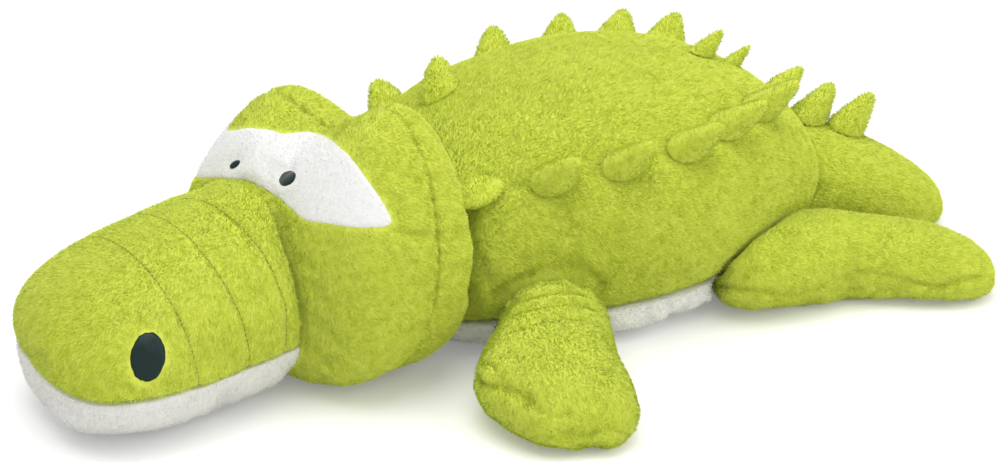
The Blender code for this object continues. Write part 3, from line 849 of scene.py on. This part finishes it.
def newGroup(name, sockets):
    group = bpy.data.node_groups.new(name, "GeometryNodeTree")
    group.interface.new_socket("Geometry", in_out="OUTPUT", socket_type="NodeSocketGeometry")
    for label, kind in (("Geometry", "Geometry"), *sockets):
        group.interface.new_socket(label, in_out="INPUT", socket_type="NodeSocket" + kind)
    return group


def makeStitchGroup():
    group = newGroup("stitches", (("Stitch", "Object"), ("Spacing", "Float"), ("Thread", "Material")))
    entry = addNode(group, "NodeGroupInput", {})
    line = addNode(group, "GeometryNodeMeshToCurve", {"Mesh": entry["Geometry"]})["Curve"]
    spots = addNode(group, "GeometryNodeCurveToPoints", {"Curve": line, "Length": entry["Spacing"]},
                    mode="LENGTH")
    aim = addNode(group, "FunctionNodeAlignRotationToVector", {"Vector": spots["Tangent"]}, axis="Z")
    shape = addNode(group, "GeometryNodeObjectInfo", {"Object": entry["Stitch"]})
    plant = addNode(group, "GeometryNodeInstanceOnPoints",
                    {"Points": spots["Points"], "Instance": shape["Geometry"], "Rotation": aim["Rotation"],
                     "Scale": entry["Spacing"]})
    real = addNode(group, "GeometryNodeRealizeInstances", {"Geometry": plant["Instances"]})
    paint = addNode(group, "GeometryNodeSetMaterial",
                    {"Geometry": real["Geometry"], "Material": entry["Thread"]})
    addNode(group, "NodeGroupOutput", {"Geometry": paint["Geometry"]})
    return group


def setInputs(modifier, group, values):
    for item in group.interface.items_tree:
        if item.in_out == "INPUT" and item.name in values:
            modifier[item.identifier] = values[item.name]


stitch = makeStitch(stitchSizes)
stitchGroup = makeStitchGroup()
corners, links = [], []
for path in seamPaths:
    count = len(corners)
    for place in path:
        normal = trees["snout_skin"].find_nearest(Vector(place))[1]
        hit = snoutTree.ray_cast(Vector(place) + normal * stitchSizes["start"], -normal)[0]
        corners.append(hit + normal * stitchSizes["lift"])
    links += [(index, index + 1) for index in range(count, len(corners) - 1)]
mesh = bpy.data.meshes.new("snout_stitches")
mesh.from_pydata(corners, links, [])
stitches = newThing("snout_stitches", mesh)
sew = stitches.modifiers.new("stitches", "NODES")
sew.node_group = stitchGroup
setInputs(sew, stitchGroup, {"Stitch": stitch, "Spacing": snoutSeams["stitch"], "Thread": seamThread})
stitches.update_tag()
asPlainMesh(stitches)
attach(stitches, "head")
bpy.data.objects.remove(stitch, do_unlink=True)
print("stitches", len(stitches.data.polygons))

# Spikes: padded cones; the first one on the left is a wider flap that hangs down
spikeSizes = {"voxel": 0.0020, "rounds": 4, "rise": 1.14, "foot": 1.10, "taper": 0.26, "bow": 1.5,
              "lean": 0.006, "lift": 0.010, "combBack": 0.3, "combShare": 0.5, "flapLong": 1.60,
              "flapThick": 0.75, "flapDrop": 0.011, "flapComb": (0.0, 0.2, -1.0)}
tailward = np.array((0.30, 0.95, 0.0))


def shapeSpike(node, points, foot, normal, sizes):
    # The spike's new points, and the way that its pile is combed.
    height = (points - foot) @ normal
    share = np.clip(height / height.max(), 0.0, 1.0)
    if node == "spike_left_1":
        points[:, 1] = foot[1] + (points[:, 1] - foot[1]) * sizes["flapLong"]
        points -= normal * (np.clip(height, 0.0, None) * (1.0 - sizes["flapThick"]))[:, None]
        points[:, 2] -= sizes["flapDrop"] * share ** sizes["bow"]
        return points, np.array(sizes["flapComb"])
    aside = points - foot - height[:, None] * normal
    width = sizes["foot"] - sizes["taper"] * share
    lean = tailward * sizes["lean"]
    if "left" in node:
        lean = lean + np.array((0.0, 0.0, sizes["lift"]))
    points = (foot + normal * (height * (1.0 + (sizes["rise"] - 1.0) * share))[:, None]
              + aside * width[:, None] + lean * (share ** sizes["bow"])[:, None])
    return points, (normal + tailward * sizes["combBack"]) * sizes["combShare"]


spikeSkins = {"torso": [], "tail": []}
spikeRows = []
for node in sorted(nodes):
    if "spike" not in node:
        continue
    body = "tail" if node.startswith("tail") else "torso"
    skin = soften(node + "_skin", node, spikeSizes["voxel"], spikeSizes["rounds"])
    skinBare = meets(skin, [trees["torso_skin"], trees["tail_skin"]], touchSizes["sewn"])
    points = pointsOf(skin)
    root = trees[body + "_skin"].find_nearest(Vector(points.mean(axis=0)))
    points, comb = shapeSpike(node, points, np.array(root[0]), np.array(root[1]), spikeSizes)
    placePoints(skin, points)
    spikeSkins[body].append((skin, skinBare, comb))
    spikeRows.append((skin, body, node))
print("spikes made")

# One strand of pile: a blade that narrows to its tip, one unit long, facing along +Y
strandSizes = {"half": 0.13, "narrow": 0.85, "bow": 0.03, "knee": 0.52}


def makeStrand(sizes):
    mesh = bpy.data.meshes.new("strand")
    half, bow, knee = sizes["half"], sizes["bow"], sizes["knee"]
    upper = half * sizes["narrow"]
    corners = [(-half, 0.0, 0.0), (half, 0.0, 0.0), (upper, bow, knee), (-upper, bow, knee),
               (0.0, -bow, 1.0)]
    mesh.from_pydata(corners, [], [(3, 2, 1, 0), (2, 3, 4)])
    thing = newThing("strand", mesh)
    thing.hide_render = True
    return thing


# Pile: how it ruffles, turns, varies in length and mixes its three shades
ruffleSizes = {"clump": 95.0, "wave": 24.0, "detail": 1.0, "upright": -0.45, "flank": 0.85, "turn": 0.6,
               "short": 0.75, "long": 1.20, "shade": 110.0, "mix": 0.34, "dark": 0.55, "light": 0.80}


def makePileGroup(sizes):
    group = newGroup("pile", (
        ("Strand", "Object"), ("Density", "Float"), ("Length", "Float"), ("Clump", "Float"),
        ("Wave", "Float"), ("Seed", "Int"), ("Dark", "Material"), ("Mid", "Material"), ("Light", "Material")))
    entry = addNode(group, "NodeGroupInput", {})

    def vectorStep(operation, inputs):
        made = addNode(group, "ShaderNodeVectorMath", inputs, operation=operation)
        return made["Value" if operation == "DOT_PRODUCT" else "Vector"]

    def numberStep(operation, *values):
        return addNode(group, "ShaderNodeMath", dict(enumerate(values)), operation=operation)["Value"]

    def noiseAt(scale, output):
        place = addNode(group, "GeometryNodeInputPosition", {})["Position"]
        return addNode(group, "ShaderNodeTexNoise",
                       {"Scale": scale, "Detail": sizes["detail"], "Vector": place})[output]

    def ruffled(scale, amount):
        way = vectorStep("SUBTRACT", {0: noiseAt(scale, "Color"), 1: (0.5, 0.5, 0.5)})
        return vectorStep("SCALE", {0: way, "Scale": amount})

    def randomNumber(low, high, seed):
        return addNode(group, "FunctionNodeRandomValue", {2: low, 3: high, "Seed": seed},
                       data_type="FLOAT")[1]

    def marked(name, kind="FLOAT"):
        return addNode(group, "GeometryNodeInputNamedAttribute", {"Name": name}, data_type=kind)["Attribute"]

    def compared(value, operation, edge):
        return addNode(group, "FunctionNodeCompare", {"A": value, "B": edge}, data_type="FLOAT",
                       operation=operation)["Result"]

    scatter = addNode(group, "GeometryNodeDistributePointsOnFaces",
                      {"Mesh": entry["Geometry"], "Selection": compared(marked("pile"), "GREATER_THAN", 0.5),
                       "Density": entry["Density"], "Seed": entry["Seed"]})
    # The pile lies over along the comb, more ruffled on the flanks than on top.
    normal = scatter["Normal"]
    comb = marked("comb", "FLOAT_VECTOR")
    upright = vectorStep("SCALE", {0: normal, "Scale": vectorStep("DOT_PRODUCT", {0: comb, 1: normal})})
    laid = vectorStep("SUBTRACT", {0: comb, 1: upright})
    height = addNode(group, "ShaderNodeSeparateXYZ", {"Vector": normal})["Z"]
    amount = numberStep("MULTIPLY", numberStep("MULTIPLY_ADD", height, sizes["upright"], sizes["flank"]),
                        entry["Clump"])
    ruffle = vectorStep("ADD", {0: ruffled(sizes["clump"], amount), 1: ruffled(sizes["wave"], entry["Wave"])})
    way = vectorStep("ADD", {0: vectorStep("ADD", {0: normal, 1: laid}), 1: ruffle})
    aim = addNode(group, "FunctionNodeAlignRotationToVector", {"Vector": way}, axis="Z")
    turnOut = addNode(group, "FunctionNodeAlignRotationToVector",
                      {"Rotation": aim["Rotation"], "Vector": normal}, axis="Y", pivot_axis="Z")
    axle = addNode(group, "FunctionNodeAxisAngleToRotation",
                   {"Axis": (0.0, 0.0, 1.0), "Angle": randomNumber(-sizes["turn"], sizes["turn"], 3)})
    turn = addNode(group, "FunctionNodeRotateRotation",
                   {"Rotation": turnOut["Rotation"], "Rotate By": axle["Rotation"]}, rotation_space="LOCAL")
    size = numberStep("MULTIPLY", entry["Length"], randomNumber(sizes["short"], sizes["long"], 5))
    tone = numberStep("MULTIPLY_ADD", randomNumber(0.0, 1.0, 9), sizes["mix"],
                      noiseAt(sizes["shade"], "Fac"))
    kept = addNode(group, "GeometryNodeStoreNamedAttribute",
                   {"Geometry": scatter["Points"], "Name": "tone", "Value": tone}, data_type="FLOAT",
                   domain="POINT")
    shape = addNode(group, "GeometryNodeObjectInfo", {"Object": entry["Strand"]})
    plant = addNode(group, "GeometryNodeInstanceOnPoints",
                    {"Points": kept["Geometry"], "Instance": shape["Geometry"], "Rotation": turn["Rotation"],
                     "Scale": size})
    flow = addNode(group, "GeometryNodeRealizeInstances", {"Geometry": plant["Instances"]})["Geometry"]
    toneThere = marked("tone")
    chosen = {"Mid": {}, "Dark": {"Selection": compared(toneThere, "LESS_THAN", sizes["dark"])},
              "Light": {"Selection": compared(toneThere, "GREATER_THAN", sizes["light"])}}
    for label, selection in chosen.items():
        flow = addNode(group, "GeometryNodeSetMaterial",
                       {"Geometry": flow, "Material": entry[label], **selection})["Geometry"]
    addNode(group, "NodeGroupOutput", {"Geometry": flow})
    return group


strand = makeStrand(strandSizes)
pileGroup = makePileGroup(ruffleSizes)
pileSizes = {"green": {"Clump": 1.7, "Wave": 0.8}, "white": {"Clump": 0.9, "Wave": 0.5},
             "nap": {"Clump": 0.7, "Wave": 0.4}}
clearOfFloor = 0.0002


def growPile(name, grown, kind, length, density, seed):
    # Pile over one or more skins of a body, as one plain mesh. No point of it goes below the floor.
    shape = bmesh.new()
    openNow, combs = [], []
    for skin, skinBare, comb in grown:
        shape.from_mesh(skin.data)
        openNow.append(1.0 - skinBare.astype(np.float32))
        combs.append(np.tile(np.array(comb, np.float32), (len(skinBare), 1)))
    thing = thingOf(name, shape)
    marked = thing.data.attributes
    marked.new("pile", "FLOAT", "POINT").data.foreach_set("value", np.concatenate(openNow))
    marked.new("comb", "FLOAT_VECTOR", "POINT").data.foreach_set("vector", np.concatenate(combs).ravel())
    grow = thing.modifiers.new("pile", "NODES")
    grow.node_group = pileGroup
    dark, mid, light = strandMaterials[kind]
    setInputs(grow, pileGroup, {"Strand": strand, "Density": density, "Length": length, "Seed": seed,
                                "Dark": dark, "Mid": mid, "Light": light, **pileSizes[kind]})
    thing.update_tag()
    asPlainMesh(thing)
    points = pointsOf(thing)
    points[:, 2] = np.maximum(points[:, 2], clearOfFloor)
    placePoints(thing, points)
    print(name, "strands", len(thing.data.polygons) // 2)
    return thing


napSizes = {"comb": (0.2, 0.2, -0.8), "length": 0.0018, "density": 260000}
spikePileSizes = {"length": 0.0030, "density": 340000}
seed = 1
for name, form in forms.items():
    parts = 3 if name == "torso_skin" else 1
    kind = form["kind"]
    for part in range(parts):
        label = name.replace("_skin", "_pile") + ("_%d" % (part + 1) if parts > 1 else "")
        pile = growPile(label, [(skins[name], bare[name], form["comb"])], kind, form["length"],
                        form["density"] / parts, seed)
        seed += 1
        follow(pile, form["body"], name)
patchBare = meets(patch, [treeOf(skins["head_skin"])], bareSizes["patchFoot"])
for name in pupils:
    patchBare |= closeTo(pointsOf(patch), treeOf(marks[name]), bareSizes["pupil"])
pile = growPile("eye_patch_nap", [(patch, patchBare, napSizes["comb"])], "nap", napSizes["length"],
                napSizes["density"], seed)
follow(pile, "head")
for body, group in spikeSkins.items():
    seed += 1
    pile = growPile(body + "_spike_pile", group, "green", spikePileSizes["length"],
                    spikePileSizes["density"], seed)
    follow(pile, body, body + "_skin")
for name, form in forms.items():
    kind = form["kind"]
    dress(skins[name], form["body"], skinMaterials[kind], kind + "_pile", form["node"], skin=name)
for skin, body, node in spikeRows:
    dress(skin, body, skinMaterials["green"], "green_pile", node, skin=body + "_skin")
bpy.data.objects.remove(strand, do_unlink=True)
print("pile grown")

# Floor, lamps and background
stageSizes = {
    "floor": 8.0, "floorShade": 0.95, "floorRoughness": 0.9, "floorWhite": 0.20, "worldLight": 0.56,
    "aim": (0.0, 0.0, 0.1),
    "lamps": {"key": (40.0, 2.2, (0.2, -0.3, 2.5)), "fill": (20.0, 2.0, (1.9, 1.5, 1.6))}}
white = (1.0, 1.0, 1.0, 1.0)


def makeFloor(sizes):
    # The floor glows a little to the camera, so that it comes out nearly white.
    mesh = bpy.data.meshes.new("floor")
    size, shade = sizes["floor"], sizes["floorShade"]
    mesh.from_pydata([(-size, -size, 0.0), (size, -size, 0.0), (size, size, 0.0), (-size, size, 0.0)], [],
                     [(0, 1, 2, 3)])
    floor = newThing("floor", mesh)
    material, tree, shader = newMaterial("floor")
    seen = addNode(tree, "ShaderNodeLightPath", {})["Is Camera Ray"]
    glow = addNode(tree, "ShaderNodeMath", {0: seen, 1: sizes["floorWhite"]}, operation="MULTIPLY")
    wire(tree, shader, {"Base Color": (shade, shade, shade, 1.0), "Roughness": sizes["floorRoughness"],
                        "Emission Color": white, "Emission Strength": glow["Value"]})
    mesh.materials.append(material)
    floor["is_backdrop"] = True


def makeLamp(name, power, size, place):
    data = bpy.data.lights.new(name, "AREA")
    data.energy = power
    data.size = size
    lamp = bpy.data.objects.new(name, data)
    lamp.location = place
    lamp.rotation_mode = "QUATERNION"
    lamp.rotation_quaternion = (Vector(stageSizes["aim"]) - Vector(place)).to_track_quat("-Z", "Y")
    scene.collection.objects.link(lamp)


def makeWorld(strength):
    # The background is full white to the camera, to gloss and through glass, and dimmer as a light.
    world = bpy.data.worlds.new("studio")
    scene.world = world
    world.use_nodes = True
    tree = world.node_tree
    light = tree.nodes["Background"]
    wire(tree, light, {"Color": white, "Strength": strength})
    paper = addNode(tree, "ShaderNodeBackground", {"Color": white})["Background"]
    path = addNode(tree, "ShaderNodeLightPath", {})
    seen = path["Is Camera Ray"]
    for label in ("Is Glossy Ray", "Is Transmission Ray"):
        seen = addNode(tree, "ShaderNodeMath", {0: seen, 1: path[label]}, operation="MAXIMUM")["Value"]
    mixed = addNode(tree, "ShaderNodeMixShader", {"Fac": seen, 1: light.outputs["Background"], 2: paper})
    wire(tree, tree.nodes["World Output"], {"Surface": mixed["Shader"]})


makeFloor(stageSizes)
for name, (power, size, place) in stageSizes["lamps"].items():
    makeLamp(name, power, size, place)
makeWorld(stageSizes["worldLight"])
scene.view_settings.view_transform = "Standard"

low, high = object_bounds()
print("size", [round(value, 4) for value in low], [round(value, 4) for value in high])
